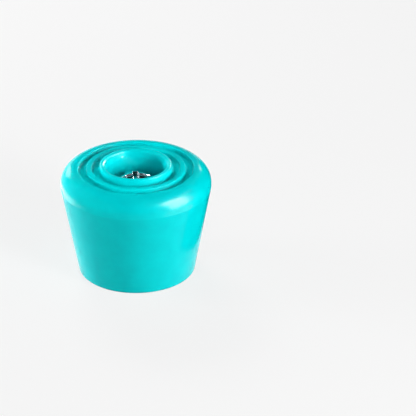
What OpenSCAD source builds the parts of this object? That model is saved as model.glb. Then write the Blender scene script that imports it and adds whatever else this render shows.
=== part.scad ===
// Bolt-on toe stop of a quad roller skate: a cast polyurethane stop with its bolt and washers.
// All sizes are in millimetres. The mounting face lies on z = 0, and the axis of the stop is the Z axis.

/* [Stopper body] */
// Widest diameter, at the crease under the round shoulder
widest_d = 51; // [46:0.5:60]
// Diameter of the narrow mounting face, before its edge is rounded
base_d = 39.6; // [34:0.2:44]
// Height of the crease above the mounting face
crease_h = 31; // [27:0.5:40]
// Height of the straight band between the crease and the shoulder
band_h = 1; // [0.2:0.1:2]
// Radius of the rounded edge of the mounting face
base_edge_r = 0.7; // [0.3:0.1:2]

/* [Face rings, from the recess outwards] */
// Diameter of the mouth of the recess
mouth_d = 21.3; // [20.4:0.1:23]
// Width of the rim round the mouth, at its top
rim_w = 1.45; // [1.3:0.05:2.5]
// Height of the rim above the shoulder
rim_rise = 1.45; // [0.8:0.05:2.5]
// Lean of the outer wall of the rim from the axis
rim_lean = 9; // [0:1:15]
// Radius on the outer edge of the rim
rim_edge_r = 0.7; // [0.3:0.05:0.8]
// Radius on the inner edge of the rim
mouth_edge_r = 0.55; // [0.2:0.05:0.6]
// Width of the groove between the rim and the ridge, at their tops
inner_groove_w = 2.75; // [2.4:0.05:3.5]
// Width of the ridge between the two grooves, at its top
ridge_w = 1.9; // [1.4:0.05:3]
// Height of the ridge above the shoulder
ridge_rise = 0.1; // [0:0.05:0.6]
// Width of the groove between the ridge and the shoulder, at their tops
outer_groove_w = 2.7; // [2.2:0.05:3.5]
// Depth of both grooves below the shoulder
groove_depth = 1.4; // [1.2:0.1:2.5]
// Lean of the other groove walls from the axis, so that the casting leaves its mould
wall_lean = 5; // [0:1:10]
// Radius at the foot of the groove walls
groove_foot_r = 0.8; // [0.3:0.05:0.9]
// Radius on the upper edges of the ridge and of the shoulder
ring_edge_r = 0.35; // [0.2:0.05:0.4]
// Width of the flat land between the outer groove and the round shoulder
shoulder_land_w = 0.4; // [0.4:0.05:1]

/* [Recess and seat] */
// Diameter of the recess under its flared mouth
recess_d = 19.6; // [18:0.1:20]
// Height of the flared mouth
flare_h = 2.5; // [1.5:0.1:5]
// Radius between the flared mouth and the wall of the recess
flare_r = 3; // [1:0.5:6]
// Diameter of the recess at its floor
recess_floor_d = 19; // [17:0.25:19.5]
// Height of the bolt seat above the mounting face
seat_h = 15; // [10:0.5:20]
// Outside diameter of the seat washer, whose edge is cast in
seat_washer_d = 24; // [22:0.5:28]
// Thickness of the seat washer
seat_washer_t = 2; // [1.5:0.1:3]
// Space between the edge of the seat washer and the casting
cast_gap = 0.05; // [0.02:0.01:0.1]
// Space all round the thread in the seat washer
seat_play = 0.85; // [0.82:0.01:1]
// Space all round the thread in the casting
hole_play = 1; // [0.9:0.05:1.5]
// Chamfer where the bolt hole meets the mounting face
hole_chamfer = 0.6; // [0.3:0.1:1]

/* [Mounting bolt] */
// Outside diameter of the thread
thread_d = 8; // [6:0.5:8]
// Length under the head
bolt_l = 30; // [28:1:36]
// Height of the bolt tip above the mounting face, as the bolt stands in the recess
bolt_lift = 0; // [0:0.5:4]
// Diameter of the head
head_d = 14; // [13:0.25:15]
// Height of the head
head_h = 5.2; // [4.8:0.1:6]
// Radius of the crown of the head
crown_r = 9.1; // [8.7:0.1:12]
// Radius between the crown and the side of the head
head_edge_r = 0.5; // [0.2:0.1:0.8]
// Chamfer under the head
head_chamfer = 0.3; // [0.1:0.1:0.5]
// How much thinner the neck under the head is than the thread, on the diameter
neck_relief = 0.9; // [0.7:0.1:1.2]
// Chamfer at the tip of the thread
tip_chamfer = 0.9; // [0.5:0.1:1.2]

/* [Drive recess] */
// Angle of the slot about the axis
drive_angle = 6; // [0:1:90]
// Width of the slot
slot_w = 1.2; // [0.8:0.1:1.8]
// Depth of the slot below the top of the crown
slot_depth = 1.9; // [1.2:0.1:2.2]
// Span of the cross recess over two wings
cross_span = 7; // [6:0.25:8]
// Width of a wing of the cross recess
wing_w = 1.9; // [1.4:0.1:2.2]
// Depth of the wings below the top of the crown
cross_depth = 3.7; // [3:0.1:4]
// Slope of the outer edge of a wing from the axis
wing_slope = 26.5; // [20:0.5:30]
// Depth of the conical floor of the cross recess
cross_floor_h = 0.7; // [0.4:0.1:1]

/* [Spring washer] */
// Radial width of the wire
wire_w = 2.6; // [2:0.1:2.8]
// Thickness of the wire
wire_t = 2; // [1.4:0.1:2.4]
// Rise of one end of the split ring over the other when it is free
split_rise = 1.4; // [0.8:0.1:2]
// Width of the split, along the middle of the wire
split_w = 1.6; // [1:0.1:3]
// Space between the washer and the neck
neck_play = 0.25; // [0.15:0.05:0.35]
// Space between the washer and the underside of the head
head_gap = 0.1; // [0.05:0.05:0.3]
// Free length of the neck below the washer
neck_spare = 0.4; // [0.2:0.1:1]

/* [Hidden] */
$fn = 96;

// Room that a cut takes past the face that it opens
past = 1;

// Radii of the face rings, at their tops
mouth_r = mouth_d / 2;
rim_r = mouth_r + rim_w;
ridge_in_r = rim_r + inner_groove_w;
ridge_out_r = ridge_in_r + ridge_w;
shoulder_in_r = ridge_out_r + outer_groove_w;

// The shoulder fills the space from the flat land to the widest diameter
widest_r = widest_d / 2;
shoulder_r = widest_r - shoulder_in_r - shoulder_land_w;

// Levels of the face
face_z = crease_h + band_h + shoulder_r;
ridge_z = face_z + ridge_rise;
rim_z = face_z + rim_rise;
groove_z = face_z - groove_depth;

// Radii of the groove walls at their feet
rim_foot_r = rim_r + (rim_z - groove_z) * tan(rim_lean);
ridge_in_foot_r = ridge_in_r - (ridge_z - groove_z) * tan(wall_lean);
ridge_out_foot_r = ridge_out_r + (ridge_z - groove_z) * tan(wall_lean);
shoulder_foot_r = shoulder_in_r - groove_depth * tan(wall_lean);

// Two foot radii share the floor of a groove, so a narrow floor makes them smaller
floor_share = 0.48;
inner_foot_r = min(groove_foot_r, floor_share * (ridge_in_foot_r - rim_foot_r));
outer_foot_r = min(groove_foot_r, floor_share * (shoulder_foot_r - ridge_out_foot_r));

// Recess, slot of the seat washer and bolt hole
thread_r = thread_d / 2;
hole_r = thread_r + hole_play;
slot_r = seat_washer_d / 2 + cast_gap;
slot_z = seat_h - seat_washer_t;

// Bolt levels, from the tip to the crown
neck_r = thread_r - neck_relief / 2;
head_r = head_d / 2;
tip_z = bolt_lift;
head_z = tip_z + bolt_l;
crown_z = head_z + head_h;
crown_mid_z = crown_z - crown_r;
head_edge_mid = [
    head_r - head_edge_r,
    crown_mid_z + sqrt(pow(crown_r - head_edge_r, 2) - pow(head_r - head_edge_r, 2))
];
crown_end = [
    head_edge_mid.x * crown_r / (crown_r - head_edge_r),
    crown_mid_z + (head_edge_mid.y - crown_mid_z) * crown_r / (crown_r - head_edge_r)
];

// The spring washer hangs under the head, on the neck
washer_in_r = neck_r + neck_play;
washer_out_r = washer_in_r + wire_w;
washer_h = wire_t + split_rise;
washer_z = head_z - head_gap - washer_h;
neck_z = washer_z - neck_spare;

// Cross recess: the wings' outer edges meet the crown at the stated span
wing_top_r = cross_span / 2;
wing_top_z = crown_mid_z + sqrt(pow(crown_r, 2) - pow(wing_top_r, 2));
wing_foot_z = crown_z - cross_depth;
wing_foot_r = wing_top_r - (wing_top_z - wing_foot_z) * tan(wing_slope);
wing_past_r = wing_foot_r + (cross_depth + past) * tan(wing_slope);

// Direction of a line in a section
function unit(line) = line / norm(line);

// The arc that rounds a corner: its start, its middle, its end, and a tip on the far side of the corner
function rounding(before, corner, after, r) =
    let (
        back = unit(before - corner),
        on = unit(after - corner),
        across = unit(back + on),
        half_angle = acos(back * on) / 2,
        reach = r / tan(half_angle)
    )
    [
        corner + back * reach,
        corner + across * r / sin(half_angle),
        corner + on * reach,
        corner - across * r / 2
    ];

// What rounding takes off a corner that stands out
module corner_waste(arc, r) {
    difference() {
        polygon([arc[0], arc[3], arc[2]]);
        translate(arc[1])
            circle(r);
    }
}

// Section from a list of corners, counterclockwise, each with the radius that rounds it or 0.
// A hollow corner is filled as far as the middle of its arc and then cut by the full circle.
module rounded_section(corners) {
    count = len(corners);
    order = [0 : count - 1];
    points = [for (corner = corners) corner[0]];
    radii = [for (corner = corners) corner[1]];
    before = [for (i = order) points[(i + count - 1) % count]];
    after = [for (i = order) points[(i + 1) % count]];
    arcs = [for (i = order) rounding(before[i], points[i], after[i], radii[i])];
    bends = [for (i = order) cross(points[i] - before[i], after[i] - points[i])];
    hollow = [for (i = order) radii[i] > 0 && bends[i] < 0];
    difference() {
        polygon([for (i = order) each hollow[i] ? [arcs[i][0], arcs[i][1], arcs[i][2]] : [points[i]]]);
        for (i = order)
            if (hollow[i])
                translate(arcs[i][1])
                    circle(radii[i]);
            else if (radii[i] > 0)
                corner_waste(arcs[i], radii[i]);
    }
}

// The cast stop: tapered plug, round shoulder, two grooves, ridge and rim, with the recess and the bolt hole
module stopper_body() {
    color([0, 0.79, 0.81])
        rotate_extrude()
            rounded_section([
                [[hole_r + hole_chamfer, 0], 0],
                [[base_d / 2, 0], base_edge_r],
                [[widest_r, crease_h], 0],
                [[widest_r, face_z], shoulder_r],
                [[shoulder_in_r, face_z], ring_edge_r],
                [[shoulder_foot_r, groove_z], outer_foot_r],
                [[ridge_out_foot_r, groove_z], outer_foot_r],
                [[ridge_out_r, ridge_z], ring_edge_r],
                [[ridge_in_r, ridge_z], ring_edge_r],
                [[ridge_in_foot_r, groove_z], inner_foot_r],
                [[rim_foot_r, groove_z], inner_foot_r],
                [[rim_r, rim_z], rim_edge_r],
                [[mouth_r, rim_z], mouth_edge_r],
                [[recess_d / 2, rim_z - flare_h], flare_r],
                [[recess_floor_d / 2, seat_h], 0],
                [[slot_r, seat_h], 0],
                [[slot_r, slot_z], 0],
                [[hole_r, slot_z], 0],
                [[hole_r, hole_chamfer], 0]
            ]);
}

// Steel washer cast into the floor of the recess
module seat_washer() {
    color([0.22, 0.22, 0.23])
        translate([0, 0, slot_z])
            rotate_extrude()
                translate([thread_r + seat_play, 0])
                    square([seat_washer_d / 2 - thread_r - seat_play, seat_washer_t]);
}

// Split spring washer: the wire makes one left-hand turn, as under a right-hand bolt
module spring_washer() {
    steps = 48;
    split_angle = split_w / (washer_in_r + wire_w / 2) * 180 / PI;
    section = [
        [washer_in_r, 0],
        [washer_out_r, 0],
        [washer_out_r, wire_t],
        [washer_in_r, wire_t]
    ];
    sides = len(section);
    wire = [
        for (i = [0 : steps])
            let (
                turn = split_angle / 2 + (360 - split_angle) * i / steps,
                fall = split_rise * i / steps
            )
            for (corner = section)
                [corner.x * cos(turn), corner.x * sin(turn), corner.y + split_rise - fall]
    ];
    walls = [
        for (i = [0 : steps - 1], k = [0 : sides - 1])
            let (
                here = i * sides,
                next_k = (k + 1) % sides
            )
            [here + k, here + sides + k, here + sides + next_k, here + next_k]
    ];
    first_end = [for (k = [0 : sides - 1]) k];
    last_end = [for (k = [sides - 1 : -1 : 0]) steps * sides + k];
    color([0.6, 0.61, 0.63])
        translate([0, 0, washer_z])
            polyhedron(wire, concat(walls, [first_end, last_end]));
}

// Half section of the bolt
module bolt_section() {
    polygon([
        [0, tip_z],
        [thread_r - tip_chamfer, tip_z],
        [thread_r, tip_z + tip_chamfer],
        [thread_r, neck_z - neck_relief / 2],
        [neck_r, neck_z],
        [neck_r, head_z],
        [head_r - head_chamfer, head_z],
        [head_r, head_z + head_chamfer],
        [head_r, head_edge_mid.y],
        head_edge_mid,
        crown_end,
        [0, crown_end.y]
    ]);
    translate(head_edge_mid)
        circle(head_edge_r);
    intersection() {
        translate([0, crown_mid_z])
            circle(crown_r);
        translate([0, crown_end.y])
            square([head_r, head_h]);
    }
}

// Slot and cross of the drive recess, as the tool that fills them
module drive_recess() {
    rotate([0, 0, drive_angle]) {
        translate([-head_r - past, -slot_w / 2, crown_z - slot_depth])
            cube([2 * (head_r + past), slot_w, slot_depth + past]);
        intersection() {
            translate([0, 0, wing_foot_z])
                cylinder(h = cross_depth + past, r1 = wing_foot_r, r2 = wing_past_r);
            for (turn = [0, 90])
                rotate([0, 0, turn])
                    translate([-wing_past_r, -wing_w / 2, wing_foot_z])
                        cube([2 * wing_past_r, wing_w, cross_depth + past]);
        }
        translate([0, 0, wing_foot_z - cross_floor_h])
            cylinder(h = cross_floor_h, r1 = 0, r2 = wing_w / 2);
    }
}

// Pan head bolt: the thread is left as a plain rod of its outside diameter
module mounting_bolt() {
    color([0.86, 0.87, 0.89])
        difference() {
            rotate_extrude()
                bolt_section();
            drive_recess();
        }
}

stopper_body();
seat_washer();
spring_washer();
mounting_bolt();
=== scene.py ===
import bpy
import math
from mathutils import Matrix, Vector


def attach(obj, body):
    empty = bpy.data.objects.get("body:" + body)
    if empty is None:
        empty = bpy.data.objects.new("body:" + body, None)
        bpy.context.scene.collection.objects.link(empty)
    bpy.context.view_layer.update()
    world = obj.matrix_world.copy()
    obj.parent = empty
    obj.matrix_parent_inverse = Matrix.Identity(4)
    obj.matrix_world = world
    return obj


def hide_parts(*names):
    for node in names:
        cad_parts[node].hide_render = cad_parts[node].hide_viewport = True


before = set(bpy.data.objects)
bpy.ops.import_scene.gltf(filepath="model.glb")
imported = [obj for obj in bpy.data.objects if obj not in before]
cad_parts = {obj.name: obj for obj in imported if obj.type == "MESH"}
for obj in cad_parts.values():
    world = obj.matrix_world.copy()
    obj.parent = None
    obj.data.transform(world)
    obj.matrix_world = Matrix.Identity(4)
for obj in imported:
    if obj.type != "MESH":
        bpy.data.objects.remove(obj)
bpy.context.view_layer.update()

mm = 0.001

# The photograph's viewpoint: the axis of the stop stands left of the middle of the picture
shot = {
    "imagePixels": 416,
    "focalPixels": 2788.0,
    "lookDownDeg": 27.56,
    "rollDeg": -0.08,
    "distance": 956.6 * mm,
    "axisLeftOfMiddle": 24.31 * mm,
    "baseBelowMiddle": 19.68 * mm,
}


def aimCamera():
    pitch = math.radians(shot["lookDownDeg"])
    forward = Vector((0, math.cos(pitch), -math.sin(pitch)))
    right = Vector((1, 0, 0))
    up = right.cross(forward)
    eye = right * shot["axisLeftOfMiddle"] + up * shot["baseBelowMiddle"] - forward * shot["distance"]
    data = bpy.data.cameras.new("studioCamera")
    data.sensor_width = 36.0
    data.lens = shot["focalPixels"] / shot["imagePixels"] * data.sensor_width
    data.clip_start = 0.05
    camera = bpy.data.objects.new("studioCamera", data)
    turn = Matrix((right, up, -forward)).transposed()
    roll = Matrix.Rotation(math.radians(shot["rollDeg"]), 3, "Z")
    camera.matrix_world = Matrix.Translation(eye) @ (turn @ roll).to_4x4()
    bpy.context.scene.collection.objects.link(camera)
    bpy.context.scene.camera = camera


aimCamera()
print("camera set")

# Soft boxes: side is degrees round from the camera to the right, rise is degrees above the floor.
# A glint box is seen only in reflections, so it adds a highlight and no spread light.
softBoxes = {
    "keyRight": {"side": 46, "rise": 16, "wide": 0.16, "tall": 0.24, "power": 4.9},
    "fillLeft": {"side": 264, "rise": 6, "wide": 0.22, "tall": 0.16, "power": 4.9},
    "fillBack": {"side": 200, "rise": 36, "wide": 0.24, "tall": 0.18, "power": 2.2},
    "fillHigh": {"side": 340, "rise": 60, "wide": 0.15, "tall": 0.15, "power": 0.25},
}
glintBoxes = {
    "windowRight": {"side": 66, "rise": 24, "wide": 0.34, "tall": 0.56, "power": 38.0},
    "windowSide": {"side": 97, "rise": 24, "wide": 0.28, "tall": 0.50, "power": 5.7},
    "gapRight": {"side": 150, "rise": 15, "wide": 0.23, "tall": 0.19, "power": 3.8},
    "gapLeft": {"side": 210, "rise": 15, "wide": 0.16, "tall": 0.19, "power": 0.6},
}
floorGlints = {
    "floorRight": {"side": 62, "out": 0.186, "wide": 0.07, "tall": 0.228, "power": 0.3},
    "floorLeft": {"side": 250, "out": 0.12, "wide": 0.10, "tall": 0.10, "power": 0.16},
}
boxDistance = 0.60
aimHeight = 20 * mm
floorGlintHeight = 1 * mm


def addLamp(name, box, spot, turn, glint):
    data = bpy.data.lights.new(name, "AREA")
    data.shape = "RECTANGLE"
    data.size = box["wide"]
    data.size_y = box["tall"]
    data.energy = box["power"]
    lamp = bpy.data.objects.new(name, data)
    lamp.location = spot
    lamp.rotation_euler = turn
    lamp.visible_camera = False
    lamp.visible_diffuse = not glint
    lamp.visible_glossy = glint
    bpy.context.scene.collection.objects.link(lamp)


def hangSoftBox(name, box, glint):
    side = math.radians(box["side"])
    rise = math.radians(box["rise"])
    toward = Vector((math.sin(side) * math.cos(rise), -math.cos(side) * math.cos(rise), math.sin(rise)))
    turn = (-toward).to_track_quat("-Z", "Y").to_euler()
    spot = Vector((0, 0, aimHeight)) + toward * boxDistance
    addLamp(name, box, spot, turn, glint)


# A gleam that lies on the floor, as a glossy floor would show
def layFloorGlint(name, box):
    side = math.radians(box["side"])
    spot = Vector((math.sin(side) * box["out"], -math.cos(side) * box["out"], floorGlintHeight))
    addLamp(name, box, spot, (math.pi, 0, side), True)


for boxName, boxValues in softBoxes.items():
    hangSoftBox(boxName, boxValues, False)
for boxName, boxValues in glintBoxes.items():
    hangSoftBox(boxName, boxValues, True)
for boxName, boxValues in floorGlints.items():
    layFloorGlint(boxName, boxValues)


# Node helpers: a node with its settings, and math whose inputs are numbers or sockets
def addNode(tree, kind, **settings):
    node = tree.nodes.new(kind)
    for key, value in settings.items():
        setattr(node, key, value)
    return node


def addMath(tree, operation, first, second):
    node = addNode(tree, "ShaderNodeMath", operation=operation)
    for socket, value in zip(node.inputs, (first, second)):
        if isinstance(value, (int, float)):
            socket.default_value = value
        else:
            tree.links.new(value, socket)
    return node.outputs[0]


def stretch(tree, value, low, high, toLow, toHigh):
    node = addNode(tree, "ShaderNodeMapRange")
    for key, number in (("From Min", low), ("From Max", high), ("To Min", toLow), ("To Max", toHigh)):
        node.inputs[key].default_value = number
    tree.links.new(value, node.inputs["Value"])
    return node.outputs["Result"]


backdrop = {
    "paper": 0.93, "fill": 0.02, "floorSize": 6.0, "floorDrop": 0.02 * mm,
    "floorShade": 0.8, "floorBounce": 0.1, "shadowShare": 0.14, "floorLight": 0.92,
}


# 1 for what the lens sees, also in a mirror or through glass, and 0 for light that spreads
def seenDirectly(tree):
    path = addNode(tree, "ShaderNodeLightPath")
    mirrored = addMath(tree, "MAXIMUM", path.outputs["Is Glossy Ray"], path.outputs["Is Transmission Ray"])
    return addMath(tree, "MAXIMUM", path.outputs["Is Camera Ray"], mirrored)


def lightWorld():
    world = bpy.data.worlds.new("paperWorld")
    bpy.context.scene.world = world
    world.use_nodes = True
    tree = world.node_tree
    tree.nodes.clear()
    strength = stretch(tree, seenDirectly(tree), 0, 1, backdrop["fill"], backdrop["paper"])
    background = addNode(tree, "ShaderNodeBackground")
    tree.links.new(strength, background.inputs["Strength"])
    output = addNode(tree, "ShaderNodeOutputWorld")
    tree.links.new(background.outputs[0], output.inputs["Surface"])


# A sheet of one face, and a material with no nodes yet
def addSheet(name, corners):
    mesh = bpy.data.meshes.new(name)
    mesh.from_pydata(corners, [], [(0, 1, 2, 3)])
    sheet = bpy.data.objects.new(name, mesh)
    bpy.context.scene.collection.objects.link(sheet)
    return sheet


def bareMaterial(name):
    material = bpy.data.materials.new(name)
    material.use_nodes = True
    material.node_tree.nodes.clear()
    return material, material.node_tree


def layFloor():
    half = backdrop["floorSize"] / 2
    floor = addSheet("floor", [(-half, -half, 0), (half, -half, 0), (half, half, 0), (-half, half, 0)])
    floor.location.z = -backdrop["floorDrop"]
    material, tree = bareMaterial("paperFloor")
    seen = seenDirectly(tree)
    share = addMath(tree, "MULTIPLY", seen, 1 - backdrop["shadowShare"])
    # Pale to the lens, but it throws little light back at the stop
    shade = stretch(tree, seen, 0, 1, backdrop["floorBounce"], backdrop["floorShade"])
    diffuse = addNode(tree, "ShaderNodeBsdfDiffuse")
    tree.links.new(shade, diffuse.inputs["Color"])
    glow = addNode(tree, "ShaderNodeEmission")
    lit = backdrop["paper"] - backdrop["shadowShare"] * backdrop["floorLight"]
    glow.inputs["Strength"].default_value = lit / (1 - backdrop["shadowShare"])
    mix = addNode(tree, "ShaderNodeMixShader")
    tree.links.new(share, mix.inputs[0])
    tree.links.new(diffuse.outputs[0], mix.inputs[1])
    tree.links.new(glow.outputs[0], mix.inputs[2])
    output = addNode(tree, "ShaderNodeOutputMaterial")
    tree.links.new(mix.outputs[0], output.inputs["Surface"])
    floor.data.materials.append(material)


# Cards that only reflections see: dark ones round the set, a glowing teal one above that paints
# a teal reflection into the bolt head, and one beside the stop that hides the window from its shoulder
reflectionCards = {
    "cardBehind": {
        "corner": (-0.7, 0.62, 0.12), "along": (1.4, 0, 0), "up": (0, 0, 0.83),
        "shade": (0.0, 0.005, 0.005),
    },
    # Painted reflection: this card glows teal so that the bolt head mirrors a teal tone
    "cardAbove": {
        "corner": (-0.7, 0.62, 0.96), "along": (1.4, 0, 0), "up": (0, -1.37, 0.14),
        "shade": (0.04, 0.28, 0.31),
    },
    "cardInFront": {
        "corner": (-0.6, -1.1, 0.1), "along": (1.2, 0, 0), "up": (0, 0.35, 0.99),
        "shade": (0.0, 0.01, 0.01),
    },
    "cardBeside": {
        "corner": (0.031, -0.0157, 0), "along": (0, 0.0637, 0), "up": (0, 0, 0.048),
        "shade": (0.0, 0.02, 0.02),
    },
}


def standReflectionCard(name, card):
    corner, along, up = (Vector(card[key]) for key in ("corner", "along", "up"))
    sheet = addSheet(name, [corner, corner + along, corner + along + up, corner + up])
    sheet.visible_camera = False
    sheet.visible_diffuse = False
    material, tree = bareMaterial(name)
    # Each card glows in its own colour; the teal one above paints a reflection into the bolt head
    shade = addNode(tree, "ShaderNodeEmission")
    shade.inputs["Color"].default_value = (*card["shade"], 1)
    output = addNode(tree, "ShaderNodeOutputMaterial")
    tree.links.new(shade.outputs[0], output.inputs["Surface"])
    sheet.data.materials.append(material)
    return sheet


# The soft boxes shine past the cards
def clearLightPath(sheets):
    passed = bpy.data.collections.new("cardsPassed")
    for sheet in sheets:
        passed.objects.link(sheet)
    for entry in passed.collection_objects:
        entry.light_linking.link_state = "EXCLUDE"
    for name in softBoxes:
        bpy.data.objects[name].light_linking.blocker_collection = passed


lightWorld()
layFloor()
clearLightPath([standReflectionCard(cardName, cardValues) for cardName, cardValues in reflectionCards.items()])
bpy.context.scene.view_settings.view_transform = "Standard"
print("light and floor set")


# Shared effects, each built once as a node group
def newGroup(name, inputs, outputs):
    group = bpy.data.node_groups.new(name, "ShaderNodeTree")
    for socketName, value in inputs.items():
        socket = group.interface.new_socket(name=socketName, in_out="INPUT", socket_type="NodeSocketFloat")
        socket.default_value = value
    for socketName in outputs:
        group.interface.new_socket(name=socketName, in_out="OUTPUT", socket_type="NodeSocketFloat")
    return group, addNode(group, "NodeGroupInput"), addNode(group, "NodeGroupOutput")


# Object coordinates counted in millimetres and divided by a size in millimetres
def sizedCoords(tree, sizeSocket):
    coords = addNode(tree, "ShaderNodeTexCoord")
    scale = addNode(tree, "ShaderNodeVectorMath", operation="SCALE")
    tree.links.new(coords.outputs["Object"], scale.inputs[0])
    tree.links.new(addMath(tree, "DIVIDE", 1 / mm, sizeSocket), scale.inputs["Scale"])
    return scale.outputs[0]


# Soft clouds, for uneven colour and gloss
def makeMottle():
    group, given, result = newGroup("mottle", {"Size": 4.0, "Detail": 3.0}, ["Cloud"])
    noise = addNode(group, "ShaderNodeTexNoise")
    noise.inputs["Scale"].default_value = 1.0
    noise.inputs["Roughness"].default_value = 0.55
    group.links.new(sizedCoords(group, given.outputs["Size"]), noise.inputs["Vector"])
    group.links.new(given.outputs["Detail"], noise.inputs["Detail"])
    group.links.new(noise.outputs["Fac"], result.inputs["Cloud"])
    return group


# Fine rings round the axis, as a lathe leaves them in a mould or on a bolt head
def makeTurningLines():
    group, given, result = newGroup("turningLines", {"Spacing": 0.25, "Wander": 0.4}, ["Height"])
    coords = addNode(group, "ShaderNodeTexCoord")
    apart = addNode(group, "ShaderNodeSeparateXYZ")
    group.links.new(coords.outputs["Object"], apart.inputs[0])
    square = addMath(group, "ADD", addMath(group, "POWER", apart.outputs["X"], 2.0),
                     addMath(group, "POWER", apart.outputs["Y"], 2.0))
    out = addMath(group, "SQRT", square, 0.0)
    along = addMath(group, "ADD", out, apart.outputs["Z"])
    turns = addMath(group, "DIVIDE", addMath(group, "MULTIPLY", along, 1 / mm), given.outputs["Spacing"])
    noise = addNode(group, "ShaderNodeTexNoise", noise_dimensions="1D")
    noise.inputs["Scale"].default_value = 1.0
    noise.inputs["Detail"].default_value = 2.0
    group.links.new(turns, noise.inputs["W"])
    drift = addNode(group, "ShaderNodeTexNoise")
    drift.inputs["Scale"].default_value = 0.2 / mm  # clouds of about 5 mm
    group.links.new(coords.outputs["Object"], drift.inputs["Vector"])
    faded = addMath(group, "MULTIPLY", drift.outputs["Fac"], given.outputs["Wander"])
    group.links.new(addMath(group, "SUBTRACT", noise.outputs["Fac"], faded), result.inputs["Height"])
    return group


# Thin scratches in two directions that fade in and out
def makeScratches():
    group, given, result = newGroup("scratches", {"Size": 1.2, "Amount": 0.5}, ["Mask"])
    coords = sizedCoords(group, given.outputs["Size"])
    layers = []
    for turnDeg in (25, 115):
        mapping = addNode(group, "ShaderNodeMapping")
        mapping.inputs["Rotation"].default_value = (0.3, 0.2, math.radians(turnDeg))
        mapping.inputs["Scale"].default_value = (0.5, 9.0, 4.0)
        group.links.new(coords, mapping.inputs["Vector"])
        noise = addNode(group, "ShaderNodeTexNoise")
        noise.inputs["Scale"].default_value = 1.0
        noise.inputs["Detail"].default_value = 2.0
        group.links.new(mapping.outputs[0], noise.inputs["Vector"])
        layers.append(stretch(group, noise.outputs["Fac"], 0.60, 0.72, 0, 1))  # the peaks only
    both = addMath(group, "MAXIMUM", layers[0], layers[1])
    group.links.new(addMath(group, "MULTIPLY", both, given.outputs["Amount"]), result.inputs["Mask"])
    return group


mottle = makeMottle()
turningLines = makeTurningLines()
scratches = makeScratches()


def place(tree, group, **values):
    node = addNode(tree, "ShaderNodeGroup", node_tree=group)
    for key, value in values.items():
        node.inputs[key].default_value = value
    return node.outputs[0]


def newMaterial(name):
    material = bpy.data.materials.new(name)
    material.use_nodes = True
    return material, material.node_tree, material.node_tree.nodes["Principled BSDF"]


def blendColor(tree, mask, first, second):
    mix = addNode(tree, "ShaderNodeMix", data_type="RGBA")
    tree.links.new(mask, mix.inputs["Factor"])
    for socket, color in ((mix.inputs[6], first), (mix.inputs[7], second)):
        if isinstance(color, tuple):
            socket.default_value = (*color, 1)
        else:
            tree.links.new(color, socket)
    return mix.outputs[2]


# Relief on top of edges that look rounded
def bumpFrom(tree, shader, height, depth, edge):
    bump = addNode(tree, "ShaderNodeBump")
    rounded = addNode(tree, "ShaderNodeBevel", samples=8)
    rounded.inputs["Radius"].default_value = edge
    tree.links.new(rounded.outputs[0], bump.inputs["Normal"])
    bump.inputs["Strength"].default_value = 1.0
    bump.inputs["Distance"].default_value = depth
    tree.links.new(height, bump.inputs["Height"])
    tree.links.new(bump.outputs[0], shader.inputs["Normal"])


# How much of the mottle's range a colour and a gloss use
cloudLow = 0.3
cloudHigh = 0.7
hazeHigh = 0.75
urethane = {
    "pale": (0.0, 0.625, 0.65), "deep": (0.0, 0.575, 0.61), "cloudSize": 5.0,
    # Painted fill light: a paler teal laid into the hollows of the grooves to lift their shade
    "paintedFillLight": (0.0, 0.72, 0.74), "paintedFillShare": 0.6,
    "gloss": 0.3, "dull": 0.5, "fineSize": 1.3, "shine": 0.01,
    "skinGloss": 0.14, "skinIndex": 1.15, "thinSkin": 0.9,
    "lineSpacing": 0.22, "lineShare": 0.4, "reliefDepth": 0.004 * mm, "edge": 0.1 * mm,
    "glow": 0.8, "glowReach": 3 * mm, "glowColors": (0.2, 1.0, 1.0),
}


def castUrethane():
    u = urethane
    material, tree, shader = newMaterial("castUrethane")
    clouds = place(tree, mottle, Size=u["cloudSize"], Detail=4.0)
    cloudy = stretch(tree, clouds, cloudLow, cloudHigh, 0, 1)
    color = blendColor(tree, cloudy, u["pale"], u["deep"])
    dull = addNode(tree, "ShaderNodeAttribute", attribute_name="dull").outputs["Fac"]
    # Painted fill light: the hollows, and narrow edges half as much, are coloured paler to lift the shade
    # in the grooves
    color = blendColor(tree, addMath(tree, "MULTIPLY", dull, u["paintedFillShare"]), color, u["paintedFillLight"])
    tree.links.new(color, shader.inputs["Base Color"])
    fine = place(tree, mottle, Size=u["fineSize"], Detail=2.0)
    rough = stretch(tree, fine, cloudLow, hazeHigh, u["gloss"], u["dull"])
    tree.links.new(rough, shader.inputs["Roughness"])
    # The smooth skin of the casting, which the grooves lack
    skin = stretch(tree, fine, cloudLow, hazeHigh, 1, u["thinSkin"])
    smooth = addMath(tree, "SUBTRACT", 1.0, dull)
    tree.links.new(addMath(tree, "MULTIPLY", skin, smooth), shader.inputs["Coat Weight"])
    shader.inputs["Coat Roughness"].default_value = u["skinGloss"]
    shader.inputs["Coat IOR"].default_value = u["skinIndex"]
    lines = place(tree, turningLines, Spacing=u["lineSpacing"], Wander=0.8)
    relief = addMath(tree, "ADD", addMath(tree, "MULTIPLY", lines, u["lineShare"]), fine)
    bumpFrom(tree, shader, relief, u["reliefDepth"], u["edge"])
    shader.inputs["Specular IOR Level"].default_value = u["shine"]
    shader.inputs["Subsurface Weight"].default_value = u["glow"]
    shader.inputs["Subsurface Radius"].default_value = u["glowColors"]
    shader.inputs["Subsurface Scale"].default_value = u["glowReach"]
    return material


scratchHaze = 0.15


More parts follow.
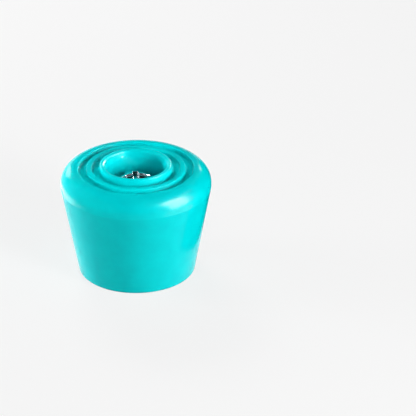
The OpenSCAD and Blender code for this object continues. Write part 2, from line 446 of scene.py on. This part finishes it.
# A metal finish: uneven colour and gloss, scratches, and rings where the piece was turned
def metalFinish(name, finish):
    material, tree, shader = newMaterial(name)
    clouds = place(tree, mottle, Size=finish["cloudSize"], Detail=4.0)
    marks = place(tree, scratches, Size=finish["scratchSize"], Amount=finish["scratchAmount"])
    cloudy = stretch(tree, clouds, cloudLow, cloudHigh, 0, 1)
    color = blendColor(tree, cloudy, finish["pale"], finish["deep"])
    tree.links.new(blendColor(tree, marks, color, finish["scratchColor"]), shader.inputs["Base Color"])
    haze = stretch(tree, clouds, cloudLow, hazeHigh, finish["gloss"], finish["dull"])
    rough = addMath(tree, "ADD", haze, addMath(tree, "MULTIPLY", marks, scratchHaze))
    tree.links.new(rough, shader.inputs["Roughness"])
    lines = place(tree, turningLines, Spacing=finish["ringSpacing"], Wander=0.3)
    relief = addMath(tree, "SUBTRACT", lines, marks)
    bumpFrom(tree, shader, relief, finish["ringDepth"], finish["edge"])
    shader.inputs["Metallic"].default_value = finish["metallic"]
    return material


brightPlate = {
    "pale": (0.82, 0.83, 0.85), "deep": (0.72, 0.735, 0.76), "scratchColor": (0.62, 0.63, 0.65),
    "cloudSize": 2.5, "scratchSize": 2.0, "scratchAmount": 0.35, "gloss": 0.08, "dull": 0.2,
    "ringSpacing": 0.12, "ringDepth": 0.002 * mm, "edge": 0.3 * mm, "metallic": 1.0,
}
springSteel = {
    "pale": (0.52, 0.53, 0.55), "deep": (0.40, 0.41, 0.43), "scratchColor": (0.60, 0.60, 0.61),
    "cloudSize": 1.8, "scratchSize": 1.4, "scratchAmount": 0.5, "gloss": 0.22, "dull": 0.4,
    "ringSpacing": 0.2, "ringDepth": 0.004 * mm, "edge": 0.1 * mm, "metallic": 1.0,
}
# Near-black steel, a real finish for a seat washer, and also painted shade: it keeps the bottom of the
# recess dark
blackSteel = {
    "pale": (0.045, 0.045, 0.048), "deep": (0.03, 0.03, 0.031), "scratchColor": (0.16, 0.16, 0.165),
    "cloudSize": 1.5, "scratchSize": 1.2, "scratchAmount": 0.6, "gloss": 0.4, "dull": 0.6,
    "ringSpacing": 0.18, "ringDepth": 0.004 * mm, "edge": 0.1 * mm, "metallic": 0.8,
}
castMaterial = castUrethane()
plateMaterial = metalFinish("brightPlate", brightPlate)
springMaterial = metalFinish("springSteel", springSteel)
blackMaterial = metalFinish("blackSteel", blackSteel)
print("materials made")


# A hollow is dull, and a narrow edge is half as dull; the same mask also paints the hollows paler as
# painted fill light, and narrow edges half as much
dullness = {"hollow": 1.0, "narrowEdge": 0.5, "narrowRadius": 0.5}


def dullnessOf(turn, radius):
    if turn < 0:
        return dullness["hollow"]
    return dullness["narrowEdge"] if radius < dullness["narrowRadius"] else 0.0


# Section from corners (r, z, radius) in millimetres, each of its points with its dullness
def roundedSection(corners, stepDeg):
    points = []
    for i, (r, z, radius) in enumerate(corners):
        corner = Vector((r, z))
        back = (Vector(corners[i - 1][:2]) - corner).normalized()
        onward = (Vector(corners[(i + 1) % len(corners)][:2]) - corner).normalized()
        if radius == 0:
            points.append((corner.x, corner.y, 0.0))
            continue
        halfAngle = math.acos(back.dot(onward)) / 2
        reach = radius / math.tan(halfAngle)
        middle = corner + (back + onward).normalized() * radius / math.sin(halfAngle)
        first = corner + back * reach - middle
        last = corner + onward * reach - middle
        turn = math.atan2(first.x * last.y - first.y * last.x, first.dot(last))
        dull = dullnessOf(turn, radius)
        steps = max(2, math.ceil(math.degrees(abs(turn)) / stepDeg))
        for k in range(steps + 1):
            spot = middle + Matrix.Rotation(turn * k / steps, 2) @ first
            points.append((spot.x, spot.y, dull))
    return points


def addPiece(name, verts, faces, material, sharpDeg):
    mesh = bpy.data.meshes.new(name)
    mesh.from_pydata([(x * mm, y * mm, z * mm) for x, y, z in verts], [], faces)
    mesh.validate()
    mesh.shade_smooth()
    mesh.set_sharp_from_angle(angle=math.radians(sharpDeg))
    mesh.materials.append(material)
    piece = bpy.data.objects.new(name, mesh)
    bpy.context.scene.collection.objects.link(piece)
    return piece


# Turns a closed section about the axis
def turnSection(name, section, segments, material, sharpDeg):
    count = len(section)
    verts = []
    for k in range(segments):
        angle = 2 * math.pi * k / segments
        verts += [(r * math.cos(angle), r * math.sin(angle), z) for r, z, dull in section]
    faces = []
    for k in range(segments):
        here = k * count
        there = (k + 1) % segments * count
        for i in range(count):
            j = (i + 1) % count
            faces.append((here + i, there + i, there + j, here + j))
    piece = addPiece(name, verts, faces, material, sharpDeg)
    attribute = piece.data.attributes.new("dull", "FLOAT", "POINT")
    attribute.data.foreach_set("value", [dull for r, z, dull in section] * segments)
    return piece


def handOver(piece, body, node):
    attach(piece, body)
    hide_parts(node)


# Radii and heights in millimetres, from the mounting face up
stop = {
    "widest": 25.5, "base": 19.8, "crease": 31.0, "baseEdge": 0.7,
    "face": 37.65, "ridge": 37.75, "rim": 39.1, "floor": 36.25,
    "shoulderIn": 19.45, "land": 0.4, "ridgeOut": 16.75, "ridgeIn": 14.85, "rimOut": 12.1, "mouth": 10.65,
    "wallLean": 5, "rimLean": 9, "foot": 0.8, "ringEdge": 0.35, "rimEdge": 0.65, "mouthEdge": 1.2,
    "recess": 9.8, "recessFloor": 9.5, "flare": 2.5, "flareRound": 3.0,
    "seat": 15.0, "seatLip": 0.25, "slot": 12.05, "slotFloor": 13.0, "hole": 5.0, "holeChamfer": 0.6,
    "segments": 288, "arcStep": 4, "sharp": 9,
}


def castStop():
    s = stop
    wall = math.tan(math.radians(s["wallLean"]))
    flank = math.tan(math.radians(s["rimLean"]))
    shoulder = s["widest"] - s["shoulderIn"] - s["land"]
    corners = [
        (s["hole"] + s["holeChamfer"], 0, 0),
        (s["base"], 0, s["baseEdge"]),
        (s["widest"], s["crease"], 0),
        (s["widest"], s["face"], shoulder),
        (s["shoulderIn"], s["face"], s["ringEdge"]),
        (s["shoulderIn"] - (s["face"] - s["floor"]) * wall, s["floor"], s["foot"]),
        (s["ridgeOut"] + (s["ridge"] - s["floor"]) * wall, s["floor"], s["foot"]),
        (s["ridgeOut"], s["ridge"], s["ringEdge"]),
        (s["ridgeIn"], s["ridge"], s["ringEdge"]),
        (s["ridgeIn"] - (s["ridge"] - s["floor"]) * wall, s["floor"], s["foot"]),
        (s["rimOut"] + (s["rim"] - s["floor"]) * flank, s["floor"], s["foot"]),
        (s["rimOut"], s["rim"], s["rimEdge"]),
        (s["mouth"], s["rim"], s["mouthEdge"]),
        (s["recess"], s["rim"] - s["flare"], s["flareRound"]),
        (s["recessFloor"], s["seat"], s["seatLip"]),
        (s["slot"], s["seat"], 0),
        (s["slot"], s["slotFloor"], 0),
        (s["hole"], s["slotFloor"], 0),
        (s["hole"], s["holeChamfer"], 0),
    ]
    section = roundedSection(corners, s["arcStep"])
    piece = turnSection("castStop", section, s["segments"], castMaterial, s["sharp"])
    handOver(piece, "stopper", "stopper_body")


castStop()
print("stop cast")

seat = {
    "inside": 4.85, "outside": 12.0, "low": 13.0, "high": 15.0, "edge": 0.2,
    "segments": 128, "arcStep": 15, "sharp": 30,
}


def pressSeatWasher():
    corners = [
        (seat["inside"], seat["low"], seat["edge"]),
        (seat["outside"], seat["low"], seat["edge"]),
        (seat["outside"], seat["high"], seat["edge"]),
        (seat["inside"], seat["high"], seat["edge"]),
    ]
    section = roundedSection(corners, seat["arcStep"])
    # The washer's near-black finish doubles as painted shade at the bottom of the recess
    piece = turnSection("seatWasher", section, seat["segments"], blackMaterial, seat["sharp"])
    handOver(piece, "stopper", "seat_washer")


pressSeatWasher()
print("seat washer pressed")

spring = {
    "inside": 3.8, "wide": 2.6, "thick": 2.0, "rise": 1.4, "low": 26.5, "split": 1.6, "edge": 0.3,
    "steps": 144, "arcStep": 15, "sharp": 30,
}


# The wire makes one left-hand turn: it starts high at one side of the split and ends low at the other
def coilSpringWasher():
    s = spring
    corners = [
        (s["inside"], 0, s["edge"]),
        (s["inside"] + s["wide"], 0, s["edge"]),
        (s["inside"] + s["wide"], s["thick"], s["edge"]),
        (s["inside"], s["thick"], s["edge"]),
    ]
    section = roundedSection(corners, s["arcStep"])
    count = len(section)
    splitAngle = s["split"] / (s["inside"] + s["wide"] / 2)
    verts = []
    for k in range(s["steps"] + 1):
        share = k / s["steps"]
        angle = splitAngle / 2 + (2 * math.pi - splitAngle) * share
        lift = s["low"] + s["rise"] * (1 - share)
        verts += [(r * math.cos(angle), r * math.sin(angle), z + lift) for r, z, dull in section]
    faces = [tuple(range(count))]
    faces.append(tuple(s["steps"] * count + i for i in reversed(range(count))))
    for k in range(s["steps"]):
        for i in range(count):
            j = (i + 1) % count
            faces.append((k * count + i, (k + 1) * count + i, (k + 1) * count + j, k * count + j))
    piece = addPiece("springWasher", verts, faces, springMaterial, s["sharp"])
    handOver(piece, "washer", "spring_washer")


coilSpringWasher()
print("spring washer coiled")

bolt = {
    "tip": 0.0, "thread": 4.0, "root": 3.28, "pitch": 1.25, "tipChamfer": 0.9,
    "crestShare": 0.14, "flankShare": 0.62, "flankEase": 0.35,
    "neck": 3.55, "neckLow": 26.1, "runOut": 1.6, "neckChamfer": 0.25,
    "headLow": 30.0, "head": 7.0, "crown": 35.2, "crownRound": 9.1, "headEdge": 0.5, "headChamfer": 0.3,
    "driveTurn": 6, "slotWide": 1.2, "slotDeep": 1.9, "crossSpan": 7.0, "wingWide": 1.9, "wingDeep": 3.7,
    "wingSlope": 26.5, "floorDeep": 0.7, "punchOver": 1.0,
    "rowsPerPitch": 20, "segments": 120, "edgeSteps": 8, "crownSteps": 30, "sharp": 34,
}


# Radius of the thread where the share of a pitch runs from one crest to the next
def threadRadius(share):
    b = bolt
    fromCrest = abs((share + 0.5) % 1 - 0.5) * 2
    flank = min(1.0, max(0.0, (fromCrest - b["crestShare"]) / b["flankShare"]))
    smooth = flank * flank * (3 - 2 * flank)
    eased = smooth * b["flankEase"] + flank * (1 - b["flankEase"])
    return b["thread"] + (b["root"] - b["thread"]) * eased


def boltRow(z, angle):
    b = bolt
    radius = threadRadius(z / b["pitch"] - angle / (2 * math.pi))
    fade = min(1.0, max(0.0, (b["neckLow"] - z) / b["runOut"]))
    radius = b["neck"] + (radius - b["neck"]) * fade
    return min(radius, b["thread"] - b["tipChamfer"] + (z - b["tip"]))


def headSection():
    b = bolt
    middle = b["crown"] - b["crownRound"]
    edgeOut = b["head"] - b["headEdge"]
    edgeUp = middle + math.sqrt((b["crownRound"] - b["headEdge"]) ** 2 - edgeOut ** 2)
    points = [(b["neck"], b["headLow"] - b["neckChamfer"]), (b["neck"] + b["neckChamfer"], b["headLow"])]
    points += [(b["head"] - b["headChamfer"], b["headLow"]), (b["head"], b["headLow"] + b["headChamfer"])]
    meet = math.atan2(edgeUp - middle, edgeOut)
    for k in range(b["edgeSteps"] + 1):
        angle = meet * k / b["edgeSteps"]
        points.append((edgeOut + b["headEdge"] * math.cos(angle), edgeUp + b["headEdge"] * math.sin(angle)))
    for k in range(1, b["crownSteps"]):
        angle = meet + (math.pi / 2 - meet) * k / b["crownSteps"]
        points.append((b["crownRound"] * math.cos(angle), middle + b["crownRound"] * math.sin(angle)))
    return points


def turnBolt():
    b = bolt
    rows = []
    rowCount = round((b["neckLow"] - b["tip"]) / b["pitch"] * b["rowsPerPitch"])
    # Half a step round, so that no edge of the head meets a corner of the drive recess
    angles = [2 * math.pi * (k + 0.5) / b["segments"] for k in range(b["segments"])]
    for i in range(rowCount + 1):
        z = b["tip"] + (b["neckLow"] - b["tip"]) * i / rowCount
        rows.append([(boltRow(z, angle), z) for angle in angles])
    rows += [[point] * b["segments"] for point in headSection()]
    verts = []
    for row in rows:
        verts += [(r * math.cos(angle), r * math.sin(angle), z) for (r, z), angle in zip(row, angles)]
    count = b["segments"]
    faces = [tuple(reversed(range(count)))]
    for i in range(len(rows) - 1):
        for k in range(count):
            m = (k + 1) % count
            faces.append((i * count + k, i * count + m, (i + 1) * count + m, (i + 1) * count + k))
    faces.append(tuple((len(rows) - 1) * count + k for k in range(count)))
    return addPiece("mountingBolt", verts, faces, plateMaterial, b["sharp"])


# The tools that punch the drive recess: a blade for the slot,
# and a cross with sloping ends and a pointed floor
def slotBlade():
    b = bolt
    half = b["slotWide"] / 2
    low = b["crown"] - b["slotDeep"]
    high = b["crown"] + b["punchOver"]
    outline = [(-b["head"], -half), (b["head"], -half), (b["head"], half), (-b["head"], half)]
    verts = [(x, y, z) for z in (low, high) for x, y in outline]
    faces = [(3, 2, 1, 0), (4, 5, 6, 7), (0, 1, 5, 4), (1, 2, 6, 5), (2, 3, 7, 6), (3, 0, 4, 7)]
    return addPiece("slotBlade", verts, faces, plateMaterial, b["sharp"])


def crossPunch():
    b = bolt
    half = b["wingWide"] / 2
    low = b["crown"] - b["wingDeep"]
    high = b["crown"] + b["punchOver"]
    top = b["crossSpan"] / 2
    topUp = b["crown"] - b["crownRound"] + math.sqrt(b["crownRound"] ** 2 - top ** 2)
    slope = math.tan(math.radians(b["wingSlope"]))
    verts = []
    for z in (low, high):
        reach = top + (z - topUp) * slope
        for quarter in range(4):
            turn = Matrix.Rotation(math.radians(90 * quarter), 2)
            verts += [(*(turn @ Vector(spot)), z) for spot in ((reach, -half), (reach, half), (half, half))]
    verts.append((0, 0, low - b["floorDeep"]))
    faces = [tuple(range(12, 24))]
    faces += [(i, (i + 1) % 12, (i + 1) % 12 + 12, i + 12) for i in range(12)]
    for quarter in range(4):
        inner = (3 * quarter + 11) % 12
        faces.append((inner, 3 * quarter + 2, 3 * quarter + 1, 3 * quarter))
        faces.append((24, 3 * quarter + 2, inner))
    return addPiece("crossPunch", verts, faces, plateMaterial, b["sharp"])


def punchDrive(piece):
    for tool in (slotBlade(), crossPunch()):
        tool.rotation_euler.z = math.radians(bolt["driveTurn"])
        cut = piece.modifiers.new("punch", "BOOLEAN")
        cut.operation = "DIFFERENCE"
        cut.solver = "EXACT"
        cut.object = tool
        bpy.context.view_layer.update()
        cutPiece = piece.evaluated_get(bpy.context.evaluated_depsgraph_get())
        shape = bpy.data.meshes.new_from_object(cutPiece)
        piece.modifiers.clear()
        piece.data = shape
        bpy.data.objects.remove(tool)
    piece.data.set_sharp_from_angle(angle=math.radians(bolt["sharp"]))


mountingBolt = turnBolt()
punchDrive(mountingBolt)
handOver(mountingBolt, "bolt", "mounting_bolt")
print("bolt turned and punched")
